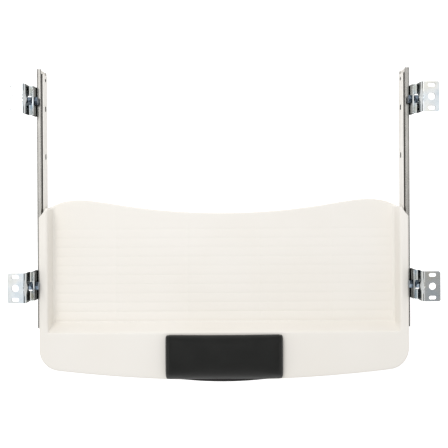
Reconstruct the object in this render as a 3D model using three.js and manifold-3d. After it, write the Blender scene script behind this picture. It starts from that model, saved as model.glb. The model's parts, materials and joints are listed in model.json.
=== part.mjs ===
// Under desk keyboard drawer: a moulded tray with a soft wrist rest, on two ball bearing slides that hang
// from the underside of a desk on four height adjustable steel brackets.
// Millimetres. +X right, +Y to the rear, +Z up. The drawer is closed and opens towards -Y.
// Z = 0 is the underside of the desk (the tops of the bracket flanges), X = 0 is the middle of the tray,
// and Y = 0 is the middle of the slides' length. Each side is drawn on the right and mirrored to the left.
import * as THREE from "three";
import { mergeVertices } from "three/addons/utils/BufferGeometryUtils.js";
import { ConvexGeometry } from "three/addons/geometries/ConvexGeometry.js";
import Module from "manifold-3d";

const wasm = await Module();
wasm.setup();

const GAP = 0.3; // air between pieces that touch

// Slides: 450 mm two-part ball bearing slides, 45 mm high and about 11 mm thick.
const SLIDE_LENGTH = 450;
const SLIDE_HEIGHT = 45;
const SLIDE_THICKNESS = 10.6;
const SLIDE_OUTER_X = 323.5;
const SLIDE_TOP_Z = -52;
const SLIDE_Z = SLIDE_TOP_Z - SLIDE_HEIGHT / 2;
const SLIDE_SHEET = 1.2;
const LIP_WIDTH = 7.7;
const LIP_CURL = 2.3;
const INNER_HALF_HEIGHT = 17.2;
const INNER_FLANGE_TIP = 3.3;
const INNER_SETBACK = 8;
const STOP_HALF_HEIGHT = 9;
const STOP_SHEET = 1.5;

// Ball cage, which rolls half as far as the drawer. Closed, it sits in the middle of the slide.
const CAGE_LENGTH = 100;
const CAGE_Y = -5;
const CAGE_SHEET = 0.6;
const CAGE_WEB = 2.4;
const CAGE_WIDTH = 4.6;
const BALL_RADIUS = 1.5;
const BALL_DEPTH = 4.6;
const BALL_HEIGHT = 19.25;
const BALL_PITCH = 40;
const BALL_HOLE_RADIUS = 1.8;

// Tray
const TRAY_HALF_WIDTH = 320.5;
const TRAY_FRONT_Y = -316;
const TRAY_FRONT_RADIUS = 2440;
const TRAY_CORNER_RADIUS = 37;
const TRAY_REAR_CORNER_Y = -33;
const LEDGE_TOP_Z = -48.5;
const TRAY_WALL = 3;
const FLOOR_TOP_Z = -88;
const WELL_FOOT = { x: 303, y: -221 };
const WELL_RIM = { x: 305.5, y: -233 };
const SKIRT_DEPTH = 20;
const SKIRT_START_Y = -229;
const RIB_X = [-192, -64, 64, 192];
const RIB_THICKNESS = 2.5;
const RIB_DEPTH = 6;

// Wrist rest
const REST_WIDTH = 203;
const REST_REAR_Y = -235.3;
const REST_FRONT_Y = -312.3;
const REST_TOP_Z = -30;
const REST_BASE_THICKNESS = 3;
const TONGUE_HALF_WIDTH = 80;
const REST_SCREW_X = 70;

// Brackets
const BRACKET_Y = { rear: 168, front: -149.5 };
const BRACKET_WIDTH = 50;
const BRACKET_SHEET = 2;
const BRACKET_PLATE_X = 331;
const FLANGE_LENGTH = 30.5;
const FLANGE_HOLE_X = BRACKET_PLATE_X + 17.5;
const FLANGE_HOLE_RADIUS = 6;
const FLANGE_SLOT_Y = 19;
const BEND_RADIUS = 3.4;
const HANGER_X = SLIDE_OUTER_X + GAP;
const HANGER_SHEET = 1.9;
const HANGER_TOP_Z = -30;
const JOGGLE_TOP_Z = -29;
const BRACKET_BOTTOM_Z = -61;
const LOWER_PLATE_X = HANGER_X + HANGER_SHEET + GAP;
const NOTCH_TOP_Z = -20;
const NOTCH_RADIUS = 8.4;
const DART_DEPTH = 14.5;
const DART_HALF_WIDTH = 15;
const DART_REACH = 2.6;

// Height adjusting bolts, M8
const BOLT_Z = -40;
const BOLT_RADIUS = 4;
const BOLT_HOLE_RADIUS = 4.4;
const BOLT_SLOT_TRAVEL = 12;
const HEX_FLATS = 13;
const HEAD_THICKNESS = 5.3;
const NUT_THICKNESS = 6.5;
const WASHER_RADIUS = 7.6;
const WASHER_THICKNESS = 1.5;

// Small fasteners
const RIVET_Y = 15;
const RIVET_RADIUS = 2;
const RIVET_HEAD_RADIUS = 3.5;
const RIVET_INSIDE_HEAD = 0.6;
const RIVET_OUTSIDE_HEAD = 1.2;
const TRAY_SCREW_Y = [-60, -130, -200];
const SCREW_RADIUS = 1.8;
const SCREW_HEAD_RADIUS = 3.5;
const SCREW_HEAD_THICKNESS = 1.8;
const SCREW_HOLE_RADIUS = 2.2;

const PLASTIC = new THREE.MeshStandardMaterial({ color: 0xf2ede6, roughness: 0.45 });
const FOAM = new THREE.MeshStandardMaterial({ color: 0x2a2a28, roughness: 0.85 });
const BLACK_PLASTIC = new THREE.MeshStandardMaterial({ color: 0x1c1c1c, roughness: 0.5 });
const ZINC = new THREE.MeshStandardMaterial({ color: 0xc5cdd0, roughness: 0.25, metalness: 1 });
const SLIDE_STEEL = new THREE.MeshStandardMaterial({ color: 0xcfcac2, roughness: 0.35, metalness: 1 });
const BALL_STEEL = new THREE.MeshStandardMaterial({ color: 0xd8d8d8, roughness: 0.1, metalness: 1 });

// ---- solids -------------------------------------------------------------------------------------------

function solid(geometry) {
  const bare = geometry.index ? geometry.toNonIndexed() : geometry.clone();
  bare.deleteAttribute("normal");
  bare.deleteAttribute("uv");
  const merged = mergeVertices(bare, 1e-4);
  return new wasm.Manifold(
    new wasm.Mesh({
      numProp: 3,
      vertProperties: merged.attributes.position.array,
      triVerts: new Uint32Array(merged.index.array),
    }),
  );
}

function mesh(name, body, material) {
  const { vertProperties, triVerts } = body.getMesh();
  const geometry = new THREE.BufferGeometry();
  geometry.setAttribute("position", new THREE.BufferAttribute(vertProperties, 3));
  geometry.setIndex(new THREE.BufferAttribute(triVerts, 1));
  geometry.computeVertexNormals();
  const made = new THREE.Mesh(geometry, material);
  made.name = name;
  return made;
}

// A flat outline given in two axes, extruded along the third from `from` to `to`.
function extrude(shape, axis, from, to, curveSegments = 8) {
  const geometry = new THREE.ExtrudeGeometry(shape, {
    depth: to - from,
    bevelEnabled: false,
    curveSegments,
  });
  if (axis === "x") {
    // outline in Y and Z
    const turn = new THREE.Matrix4().makeBasis(
      new THREE.Vector3(0, 1, 0),
      new THREE.Vector3(0, 0, 1),
      new THREE.Vector3(1, 0, 0),
    );
    geometry.applyMatrix4(turn).translate(from, 0, 0);
  } else if (axis === "y") {
    // outline in X and Z
    geometry.rotateX(Math.PI / 2).translate(0, to, 0);
  } else {
    geometry.translate(0, 0, from);
  }
  return solid(geometry);
}

function box(low, high) {
  const size = high.map((value, i) => value - low[i]);
  const middle = high.map((value, i) => (value + low[i]) / 2);
  return solid(new THREE.BoxGeometry(...size).translate(...middle));
}

// A round bar along X, or a hexagonal one with a flat on top when sides is 6.
function barX(from, to, y, z, radius, sides = 12) {
  const geometry = new THREE.CylinderGeometry(radius, radius, to - from, sides);
  geometry.rotateY(Math.PI / sides).rotateZ(Math.PI / 2);
  return solid(geometry.translate((from + to) / 2, y, z));
}

function barZ(from, to, x, y, radius, sides = 12) {
  const geometry = new THREE.CylinderGeometry(radius, radius, to - from, sides);
  return solid(geometry.rotateX(Math.PI / 2).translate(x, y, (from + to) / 2));
}

// ---- outlines -----------------------------------------------------------------------------------------

function hexRadius(flats) {
  return flats / Math.sqrt(3);
}

function rectangle(x0, y0, x1, y1) {
  const shape = new THREE.Shape();
  shape.moveTo(x0, y0);
  shape.lineTo(x1, y0);
  shape.lineTo(x1, y1);
  shape.lineTo(x0, y1);
  return shape;
}

function roundedRectangle(x0, y0, x1, y1, radius) {
  const shape = new THREE.Shape();
  shape.absarc(x1 - radius, y1 - radius, radius, 0, Math.PI / 2);
  shape.absarc(x0 + radius, y1 - radius, radius, Math.PI / 2, Math.PI);
  shape.absarc(x0 + radius, y0 + radius, radius, Math.PI, Math.PI * 1.5);
  shape.absarc(x1 - radius, y0 + radius, radius, Math.PI * 1.5, Math.PI * 2);
  return shape;
}

// The section of a bent sheet: its metal lies to the left of the line through the corners, and every
// corner is bent to the radius.
function bentSheet(corners, thickness, radius) {
  const points = corners.map(([x, y]) => new THREE.Vector2(x, y));
  const path = new THREE.Path();
  path.moveTo(points[0].x, points[0].y);
  for (let i = 1; i < points.length - 1; i += 1) {
    const here = points[i];
    const before = points[i - 1].clone().sub(here).setLength(radius).add(here);
    const after = points[i + 1].clone().sub(here).setLength(radius).add(here);
    path.lineTo(before.x, before.y);
    path.quadraticCurveTo(here.x, here.y, after.x, after.y);
  }
  const last = points[points.length - 1];
  path.lineTo(last.x, last.y);
  const face = path.getPoints(3);
  const back = face.map((point, i) => offsetPoint(face, i, thickness));
  return new THREE.Shape([...face, ...back.reverse()]);
}

// The point `distance` to the left of point i of a line, mitred between its two neighbours.
function offsetPoint(line, i, distance) {
  const into = line[i].clone().sub(line[Math.max(i - 1, 0)]).normalize();
  const out = line[Math.min(i + 1, line.length - 1)].clone().sub(line[i]).normalize();
  const first = into.lengthSq() > 0 ? into : out;
  const second = out.lengthSq() > 0 ? out : into;
  const normal = new THREE.Vector2(-first.y - second.y, first.x + second.x).normalize();
  const stretch = normal.x * -first.y + normal.y * first.x;
  return line[i].clone().addScaledVector(normal, distance / stretch);
}

// The tray seen from above, or the same outline drawn in by inset.
function trayOutline(inset = 0) {
  const half = [
    [0, -27],
    [90, -23.6],
    [165, -15.2],
    [215, -7.2],
    [255, -2.8],
    [285, -6],
    [304, -14],
    [TRAY_HALF_WIDTH, TRAY_REAR_CORNER_Y],
  ];
  const rear = [...half.slice(1).reverse().map(([x, y]) => [-x, y]), ...half];
  const points = rear.map(([x, y]) => new THREE.Vector2(x, y));
  const side = TRAY_HALF_WIDTH - inset;
  const radius = TRAY_CORNER_RADIUS - inset;
  const front = TRAY_FRONT_RADIUS - inset;
  const frontY = TRAY_FRONT_Y + TRAY_FRONT_RADIUS;
  const cornerX = side - radius;
  const cornerY = frontY - Math.sqrt((front - radius) ** 2 - cornerX ** 2);
  const meet = Math.atan2(cornerY - frontY, cornerX);
  const shape = new THREE.Shape();
  shape.moveTo(points[0].x, points[0].y);
  shape.splineThru(points.slice(1));
  shape.absarc(cornerX, cornerY, radius, 0, meet, true);
  shape.absarc(0, frontY, front, meet, -Math.PI - meet, true);
  shape.absarc(-cornerX, cornerY, radius, -Math.PI - meet, -Math.PI, true);
  shape.closePath();
  return shape;
}

// ---- drawer -------------------------------------------------------------------------------------------

// The well's space: wider at the rim than at its floor, and open to the rear.
function wellSpace() {
  const height = LEDGE_TOP_Z - FLOOR_TOP_Z;
  const above = 1 + 10 / height;
  const top = {
    x: WELL_FOOT.x + (WELL_RIM.x - WELL_FOOT.x) * above,
    y: WELL_FOOT.y + (WELL_RIM.y - WELL_FOOT.y) * above,
  };
  const behind = 30;
  const corners = [];
  for (const side of [-1, 1]) {
    corners.push(new THREE.Vector3(side * WELL_FOOT.x, WELL_FOOT.y, FLOOR_TOP_Z));
    corners.push(new THREE.Vector3(side * WELL_FOOT.x, behind, FLOOR_TOP_Z));
    corners.push(new THREE.Vector3(side * top.x, top.y, LEDGE_TOP_Z + 10));
    corners.push(new THREE.Vector3(side * top.x, behind, LEDGE_TOP_Z + 10));
  }
  return solid(new ConvexGeometry(corners));
}

function tray() {
  const outline = trayOutline();
  const floorBottom = FLOOR_TOP_Z - TRAY_WALL;
  const tubSide = SLIDE_OUTER_X - SLIDE_THICKNESS - GAP;
  const ledge = extrude(outline, "z", LEDGE_TOP_Z - TRAY_WALL, LEDGE_TOP_Z, 6);
  const tub = extrude(outline, "z", floorBottom, LEDGE_TOP_Z, 6).intersect(
    box([-tubSide, WELL_RIM.y - TRAY_WALL, floorBottom], [tubSide, 0, LEDGE_TOP_Z]),
  );
  const skirt = extrude(outline, "z", LEDGE_TOP_Z - SKIRT_DEPTH, LEDGE_TOP_Z, 6)
    .subtract(extrude(trayOutline(TRAY_WALL), "z", LEDGE_TOP_Z - SKIRT_DEPTH - 1, LEDGE_TOP_Z - 1, 6))
    .intersect(box([-400, -400, -100], [400, SKIRT_START_Y, 0]));
  let body = ledge.add(tub).add(skirt);
  for (const x of RIB_X) {
    const half = RIB_THICKNESS / 2;
    body = body.add(
      box([x - half, WELL_FOOT.y, floorBottom - RIB_DEPTH], [x + half, -45, floorBottom + 1]),
    );
  }
  body = body.subtract(wellSpace());
  for (const y of TRAY_SCREW_Y) {
    body = body.subtract(barX(-400, 400, y, SLIDE_Z, SCREW_HOLE_RADIUS, 8));
  }
  for (const x of [-REST_SCREW_X, REST_SCREW_X]) {
    body = body.subtract(barZ(-60, -40, x, restMiddleY(), SCREW_HOLE_RADIUS, 8));
  }
  return mesh("tray", body, PLASTIC);
}

function restMiddleY() {
  return (REST_REAR_Y + REST_FRONT_Y) / 2;
}

// A thin black plate under the pad, with a shallow tongue that shows in front of it.
function wristRestBase() {
  const half = REST_WIDTH / 2 - 2;
  const bottom = LEDGE_TOP_Z + GAP;
  const top = bottom + REST_BASE_THICKNESS;
  const tongueDepth = 4.9;
  const tongue = new THREE.Shape();
  tongue.moveTo(-TONGUE_HALF_WIDTH, REST_FRONT_Y + 5);
  tongue.lineTo(-TONGUE_HALF_WIDTH, REST_FRONT_Y);
  tongue.quadraticCurveTo(0, REST_FRONT_Y - 2 * tongueDepth, TONGUE_HALF_WIDTH, REST_FRONT_Y);
  tongue.lineTo(TONGUE_HALF_WIDTH, REST_FRONT_Y + 5);
  const plan = roundedRectangle(-half, REST_FRONT_Y + 2, half, REST_REAR_Y - 2, 4);
  let body = extrude(plan, "z", bottom, top, 4);
  body = body.add(extrude(tongue, "z", bottom, top, 12));
  for (const x of [-REST_SCREW_X, REST_SCREW_X]) {
    body = body.subtract(barZ(bottom - 1, top + 1, x, restMiddleY(), SCREW_HOLE_RADIUS, 8));
  }
  return mesh("wrist_rest_base", body, BLACK_PLASTIC);
}

function wristRestPad() {
  const edge = 3;
  const half = REST_WIDTH / 2 - edge;
  const bottom = LEDGE_TOP_Z + REST_BASE_THICKNESS + 2 * GAP;
  const outline = roundedRectangle(-half, REST_FRONT_Y + edge, half, REST_REAR_Y - edge, 2);
  const geometry = new THREE.ExtrudeGeometry(outline, {
    depth: REST_TOP_Z - bottom - 2 * edge,
    bevelThickness: edge,
    bevelSize: edge,
    bevelSegments: 3,
    curveSegments: 3,
  });
  return mesh("wrist_rest_pad", solid(geometry.translate(0, 0, bottom + edge)), FOAM);
}

// A screw from below, through the ledge and up into the wrist rest's base.
function wristRestScrew(name, x) {
  const under = LEDGE_TOP_Z - TRAY_WALL - GAP;
  const tip = LEDGE_TOP_Z + REST_BASE_THICKNESS;
  const head = barZ(under - SCREW_HEAD_THICKNESS, under, x, restMiddleY(), SCREW_HEAD_RADIUS);
  return mesh(name, head.add(barZ(under - 1, tip, x, restMiddleY(), SCREW_RADIUS, 8)), ZINC);
}

// ---- slides (right side) ------------------------------------------------------------------------------

// A slide section is drawn as depth in from the outer face and height from the slide's middle.
function slidePoint([depth, height]) {
  return [SLIDE_OUTER_X - depth, SLIDE_Z + height];
}

function outerMember() {
  const half = SLIDE_HEIGHT / 2;
  const section = [
    [LIP_WIDTH, LIP_CURL - half],
    [LIP_WIDTH, -half],
    [0, -half],
    [0, half],
    [LIP_WIDTH, half],
    [LIP_WIDTH, half - LIP_CURL],
  ].map(slidePoint);
  const end = SLIDE_LENGTH / 2;
  let body = extrude(bentSheet(section, SLIDE_SHEET, 1.6), "y", -end, end);
  body = body.add(slideStop(SLIDE_SHEET - 0.2, CAGE_WEB + CAGE_SHEET, -end + STOP_SHEET / 2));
  for (const y of Object.values(BRACKET_Y)) {
    for (const side of [-1, 1]) {
      body = body.subtract(rivetHole(y + side * RIVET_Y));
    }
  }
  return body;
}

// A small upright tab across the slide's middle, which the ball cage runs against.
function slideStop(fromDepth, toDepth, y) {
  return box(
    [SLIDE_OUTER_X - toDepth, y - STOP_SHEET / 2, SLIDE_Z - STOP_HALF_HEIGHT],
    [SLIDE_OUTER_X - fromDepth, y + STOP_SHEET / 2, SLIDE_Z + STOP_HALF_HEIGHT],
  );
}

function innerMember() {
  const half = INNER_HALF_HEIGHT;
  const front = -SLIDE_LENGTH / 2;
  const rear = SLIDE_LENGTH / 2 - INNER_SETBACK;
  const section = [
    [INNER_FLANGE_TIP, half],
    [SLIDE_THICKNESS, half],
    [SLIDE_THICKNESS, -half],
    [INNER_FLANGE_TIP, -half],
  ].map(slidePoint);
  let body = extrude(bentSheet(section, SLIDE_SHEET, 3), "y", front, rear);
  const stopY = rear - 2 * STOP_SHEET;
  body = body.add(slideStop(CAGE_WEB, SLIDE_THICKNESS - SLIDE_SHEET + 0.2, stopY));
  const cut = SLIDE_OUTER_X - SLIDE_THICKNESS;
  const slots = [
    [208.5, 7.4],
    [158, 11],
    [73.6, 11],
  ];
  const slotHalfHeight = 3.6;
  for (const [y, length] of slots) {
    const slot = roundedRectangle(
      y - length / 2,
      SLIDE_Z - slotHalfHeight,
      y + length / 2,
      SLIDE_Z + slotHalfHeight,
      slotHalfHeight - 0.2,
    );
    body = body.subtract(extrude(slot, "x", cut - 1, cut + SLIDE_SHEET + 1, 2));
  }
  for (const y of TRAY_SCREW_Y) {
    body = body.subtract(barX(cut - 1, cut + SLIDE_SHEET + 1, y, SLIDE_Z, SCREW_HOLE_RADIUS, 8));
  }
  return body;
}

function ballPlaces() {
  const places = [];
  for (const row of [-1, 1]) {
    for (const step of [-1, 0, 1]) {
      places.push([CAGE_Y + step * BALL_PITCH, SLIDE_Z + row * BALL_HEIGHT]);
    }
  }
  return places;
}

function ballCage() {
  const half = BALL_HEIGHT + CAGE_SHEET / 2;
  const tip = CAGE_WEB + CAGE_WIDTH;
  const section = [
    [tip, half],
    [CAGE_WEB, half],
    [CAGE_WEB, -half],
    [tip, -half],
  ].map(slidePoint);
  let body = extrude(
    bentSheet(section.reverse(), CAGE_SHEET, 0.9),
    "y",
    CAGE_Y - CAGE_LENGTH / 2,
    CAGE_Y + CAGE_LENGTH / 2,
  );
  for (const [y, z] of ballPlaces()) {
    body = body.subtract(barZ(z - 1, z + 1, SLIDE_OUTER_X - BALL_DEPTH, y, BALL_HOLE_RADIUS));
  }
  return body;
}

function ball(y, z) {
  return solid(new THREE.SphereGeometry(BALL_RADIUS, 8, 6).translate(SLIDE_OUTER_X - BALL_DEPTH, y, z));
}

// A nylon block at the outer member's rear end, which the inner member closes against.
function rearBumper() {
  const halfHeight = 15;
  const low = [SLIDE_OUTER_X - LIP_WIDTH + 1, SLIDE_LENGTH / 2 - INNER_SETBACK + 1, SLIDE_Z - halfHeight];
  const high = [SLIDE_OUTER_X - SLIDE_SHEET - GAP, SLIDE_LENGTH / 2 - 0.5, SLIDE_Z + halfHeight];
  return box(low, high);
}

function traySide() {
  return SLIDE_OUTER_X - SLIDE_THICKNESS - GAP;
}

// A screw from inside the inner member's channel, through its web into the tray's side wall.
function trayScrew(y) {
  const headFrom = SLIDE_OUTER_X - SLIDE_THICKNESS + SLIDE_SHEET + GAP;
  const head = barX(headFrom, headFrom + SCREW_HEAD_THICKNESS, y, SLIDE_Z, SCREW_HEAD_RADIUS);
  return head.add(barX(traySide() - TRAY_WALL + GAP, headFrom + 1, y, SLIDE_Z, SCREW_RADIUS, 8));
}

// ---- brackets (right side) ----------------------------------------------------------------------------

// The flange seen from above: chamfered outer corners, a round hole and two slots. It also covers the
// plate below the flange, which it leaves whole.
function bracketPlan(y) {
  const half = BRACKET_WIDTH / 2;
  const end = BRACKET_PLATE_X + FLANGE_LENGTH;
  const chamfer = 2;
  const shape = new THREE.Shape();
  shape.moveTo(LOWER_PLATE_X - 5, y - half);
  shape.lineTo(end - chamfer, y - half);
  shape.lineTo(end, y - half + chamfer);
  shape.lineTo(end, y + half - chamfer);
  shape.lineTo(end - chamfer, y + half);
  shape.lineTo(LOWER_PLATE_X - 5, y + half);
  const hole = new THREE.Path();
  hole.absarc(FLANGE_HOLE_X, y, FLANGE_HOLE_RADIUS, 0, Math.PI * 2);
  shape.holes.push(hole);
  const slotHalfLength = 6.3;
  const slotHalfWidth = 3.2;
  for (const side of [-1, 1]) {
    const slotY = y + side * FLANGE_SLOT_Y;
    const slot = roundedRectangle(
      FLANGE_HOLE_X - slotHalfLength,
      slotY - slotHalfWidth,
      FLANGE_HOLE_X + slotHalfLength,
      slotY + slotHalfWidth,
      slotHalfWidth - 0.1,
    );
    shape.holes.push(new THREE.Path(slot.getPoints(3)));
  }
  return shape;
}

// A pressed dart that stiffens the flange's bend: a four-cornered wedge, deep on the plate and only just
// reaching the flange. The corner (x, z) is where the plate's face would meet the flange's.
function dart(y, x, z, grow) {
  return solid(
    new ConvexGeometry([
      new THREE.Vector3(x + DART_REACH + grow, y, z),
      new THREE.Vector3(x, y, z - DART_DEPTH - grow),
      new THREE.Vector3(x, y - DART_HALF_WIDTH - grow, z),
      new THREE.Vector3(x, y + DART_HALF_WIDTH + grow, z),
    ]),
  );
}

function deskBracket(y) {
  const joggleDepth = BRACKET_PLATE_X - LOWER_PLATE_X;
  const section = [
    [BRACKET_PLATE_X + FLANGE_LENGTH, 0],
    [BRACKET_PLATE_X, 0],
    [BRACKET_PLATE_X, JOGGLE_TOP_Z],
    [LOWER_PLATE_X, JOGGLE_TOP_Z - joggleDepth],
    [LOWER_PLATE_X, BRACKET_BOTTOM_Z],
  ];
  const half = BRACKET_WIDTH / 2;
  const inner = BRACKET_PLATE_X + BRACKET_SHEET;
  let body = extrude(bentSheet(section, BRACKET_SHEET, BEND_RADIUS), "y", y - half, y + half);
  body = body.add(dart(y, inner - 0.5, -BRACKET_SHEET + 0.5, BRACKET_SHEET));
  body = body.subtract(dart(y, BRACKET_PLATE_X - GAP, GAP, 0));
  body = body.intersect(extrude(bracketPlan(y), "z", BRACKET_BOTTOM_Z - 1, 1));
  const notch = new THREE.Shape();
  notch.moveTo(y - NOTCH_RADIUS, BOLT_Z - NOTCH_RADIUS);
  notch.lineTo(y + NOTCH_RADIUS, BOLT_Z - NOTCH_RADIUS);
  notch.absarc(y, NOTCH_TOP_Z - NOTCH_RADIUS, NOTCH_RADIUS, 0, Math.PI);
  body = body.subtract(extrude(notch, "x", LOWER_PLATE_X + BRACKET_SHEET, inner + 1, 5));
  const slot = roundedRectangle(
    y - BOLT_HOLE_RADIUS,
    BOLT_Z - BOLT_HOLE_RADIUS - BOLT_SLOT_TRAVEL,
    y + BOLT_HOLE_RADIUS,
    BOLT_Z + BOLT_HOLE_RADIUS,
    BOLT_HOLE_RADIUS - 0.1,
  );
  return body.subtract(extrude(slot, "x", LOWER_PLATE_X - 1, LOWER_PLATE_X + BRACKET_SHEET + 1, 3));
}

// A flat plate riveted to the slide's outer member, which the bolt clamps to the desk bracket.
function hanger(y) {
  const half = BRACKET_WIDTH / 2;
  const bottom = SLIDE_TOP_Z - SLIDE_HEIGHT + 2;
  const outline = rectangle(y - half, bottom, y + half, HANGER_TOP_Z);
  let body = extrude(outline, "x", HANGER_X, HANGER_X + HANGER_SHEET);
  body = body.subtract(barX(HANGER_X - 1, HANGER_X + HANGER_SHEET + 1, y, BOLT_Z, BOLT_HOLE_RADIUS));
  for (const side of [-1, 1]) {
    body = body.subtract(rivetHole(y + side * RIVET_Y));
  }
  return body;
}

function rivetHole(y) {
  return barX(SLIDE_OUTER_X - 3, HANGER_X + 3, y, SLIDE_Z, RIVET_RADIUS + GAP, 8);
}

// A rivet with a low head on each side of the hanger and the slide's web.
function rivet(y) {
  const inside = SLIDE_OUTER_X - SLIDE_SHEET - GAP;
  const outside = HANGER_X + HANGER_SHEET + GAP;
  const insideHead = barX(inside - RIVET_INSIDE_HEAD, inside, y, SLIDE_Z, RIVET_HEAD_RADIUS);
  const outsideHead = barX(outside, outside + RIVET_OUTSIDE_HEAD, y, SLIDE_Z, RIVET_HEAD_RADIUS);
  const shank = barX(inside - 0.3, outside + 0.5, y, SLIDE_Z, RIVET_RADIUS, 8);
  return insideHead.add(outsideHead).add(shank);
}

function washerFace() {
  return LOWER_PLATE_X + BRACKET_SHEET + GAP;
}

function nutFace() {
  return washerFace() + WASHER_THICKNESS + GAP;
}

function heightBolt(y) {
  const headFace = HANGER_X - GAP;
  const tail = nutFace() + NUT_THICKNESS + 2;
  const head = barX(headFace - HEAD_THICKNESS, headFace, y, BOLT_Z, hexRadius(HEX_FLATS), 6);
  return head.add(barX(headFace - 1, tail, y, BOLT_Z, BOLT_RADIUS));
}

function washer(y) {
  const ring = barX(washerFace(), washerFace() + WASHER_THICKNESS, y, BOLT_Z, WASHER_RADIUS, 16);
  return ring.subtract(barX(washerFace() - 1, washerFace() + 3, y, BOLT_Z, BOLT_RADIUS + GAP));
}

function nut(y) {
  const block = barX(nutFace(), nutFace() + NUT_THICKNESS, y, BOLT_Z, hexRadius(HEX_FLATS), 6);
  return block.subtract(barX(nutFace() - 1, nutFace() + NUT_THICKNESS + 1, y, BOLT_Z, BOLT_RADIUS + GAP));
}

// ---- assembly -----------------------------------------------------------------------------------------

function sideGroup(side) {
  const group = new THREE.Group();
  const put = (name, body, material) => group.add(mesh(side + "_" + name, body, material));
  put("outer_member", outerMember(), SLIDE_STEEL);
  put("inner_member", innerMember(), SLIDE_STEEL);
  put("ball_cage", ballCage(), ZINC);
  put("rear_bumper", rearBumper(), PLASTIC);
  ballPlaces().forEach(([y, z], i) => put("ball_" + (i + 1), ball(y, z), BALL_STEEL));
  TRAY_SCREW_Y.forEach((y, i) => put("tray_screw_" + (i + 1), trayScrew(y), ZINC));
  for (const [place, y] of Object.entries(BRACKET_Y)) {
    put(place + "_desk_bracket", deskBracket(y), ZINC);
    put(place + "_hanger", hanger(y), ZINC);
    put(place + "_bolt", heightBolt(y), ZINC);
    put(place + "_washer", washer(y), ZINC);
    put(place + "_nut", nut(y), ZINC);
    put(place + "_rivet_1", rivet(y - RIVET_Y), ZINC);
    put(place + "_rivet_2", rivet(y + RIVET_Y), ZINC);
  }
  return group;
}

const drawer = new THREE.Group();
drawer.add(tray(), wristRestBase(), wristRestPad());
drawer.add(wristRestScrew("wrist_rest_screw_left", -REST_SCREW_X));
drawer.add(wristRestScrew("wrist_rest_screw_right", REST_SCREW_X));
drawer.add(sideGroup("right"));
const left = sideGroup("left");
left.scale.x = -1;
drawer.add(left);

export default drawer;
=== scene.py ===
import json
import math

import bmesh
import bpy
from mathutils import Matrix, Vector


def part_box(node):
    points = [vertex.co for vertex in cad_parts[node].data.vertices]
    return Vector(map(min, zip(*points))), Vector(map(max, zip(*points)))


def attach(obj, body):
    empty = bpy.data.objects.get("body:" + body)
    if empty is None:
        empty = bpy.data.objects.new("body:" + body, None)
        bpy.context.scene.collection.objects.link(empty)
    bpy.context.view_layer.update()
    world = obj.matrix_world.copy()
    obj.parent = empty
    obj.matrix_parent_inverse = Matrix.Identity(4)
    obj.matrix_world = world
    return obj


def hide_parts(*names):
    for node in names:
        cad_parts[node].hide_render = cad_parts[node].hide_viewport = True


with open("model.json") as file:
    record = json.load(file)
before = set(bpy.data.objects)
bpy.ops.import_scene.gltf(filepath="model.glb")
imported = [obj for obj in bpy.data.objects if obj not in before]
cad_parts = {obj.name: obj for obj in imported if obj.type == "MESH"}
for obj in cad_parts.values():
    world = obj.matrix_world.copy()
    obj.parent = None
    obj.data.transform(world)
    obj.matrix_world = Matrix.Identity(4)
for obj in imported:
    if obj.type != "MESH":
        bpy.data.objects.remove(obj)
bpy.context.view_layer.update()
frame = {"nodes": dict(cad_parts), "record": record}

MM = 0.001  # the scene is in metres, and sizes are written in millimetres
SIDES = {"left": -1, "right": 1}
PLACES = ("rear", "front")
scene = bpy.context.scene


def add(name, data):
    """A new object in the scene."""
    obj = bpy.data.objects.new(name, data)
    bpy.context.collection.objects.link(obj)
    return obj


def object_from(bm, name, material, smooth_angle):
    """A new object from a bmesh, smooth shaded where faces meet at less than the angle."""
    bmesh.ops.recalc_face_normals(bm, faces=bm.faces)
    mesh = bpy.data.meshes.new(name)
    bm.to_mesh(mesh)
    bm.free()
    mesh.materials.append(material)
    mesh.shade_smooth()
    mesh.set_sharp_from_angle(angle=math.radians(smooth_angle))
    return add(name, mesh)


def join(bm, first, second):
    """Faces between two rings with the same number of points."""
    for i in range(len(first)):
        j = (i + 1) % len(first)
        bm.faces.new((first[i], first[j], second[j], second[i]))


def cut(bm, point, normal, snap=0.005 * MM):
    """Cuts a mesh's faces along a plane."""
    geometry = bm.verts[:] + bm.edges[:] + bm.faces[:]
    bmesh.ops.bisect_plane(bm, geom=geometry, dist=snap, plane_co=point, plane_no=normal)


def soften(obj, width, angle=38):
    """Rounds the sharp edges of a piece."""
    bevel = obj.modifiers.new("soft_edges", "BEVEL")
    bevel.width = width
    bevel.segments = 2
    bevel.limit_method = "ANGLE"
    bevel.angle_limit = math.radians(angle)
    bevel.use_clamp_overlap = True
    bevel.harden_normals = True


def thicken(sheet, thickness, offset):
    solidify = sheet.modifiers.new("thickness", "SOLIDIFY")
    solidify.thickness = thickness
    solidify.offset = offset
    solidify.use_even_offset = True
    return solidify


def place(obj, body, slot, *nodes):
    """Hands a piece to its body and hides the CAD nodes that it stands for. Its slot is not used."""
    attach(obj, body)
    if nodes:
        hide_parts(*nodes)
    return obj


def node_line(node):
    """The middle of a side piece in Y and Z, and how far out in X its near and far ends are."""
    low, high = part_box(node)
    ends = sorted((abs(low.x), abs(high.x)))
    return ((low.y + high.y) / 2, (low.z + high.z) / 2), ends[0], ends[1]


def arc(centre, radius, start, end, steps):
    """Points of an arc, its angles in degrees."""
    turns = [math.radians(start + (end - start) * k / steps) for k in range(steps + 1)]
    return [(centre[0] + radius * math.cos(a), centre[1] + radius * math.sin(a)) for a in turns]


def strip_outline(start, end, half, steps=4):
    """A strip along a line, of the given half width, with half-round ends."""
    turn = math.degrees(math.atan2(end[1] - start[1], end[0] - start[0]))
    return arc(end, half, turn - 90, turn + 90, steps) + arc(start, half, turn + 90, turn + 270, steps)


# ---- camera: straight down on the closed drawer ----

CAMERA_PLACE = (0.0009, 0.005, 1.315)
LENS = 63.3
SHIFT_Y = -0.065
ROLL = 0.3


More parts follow.
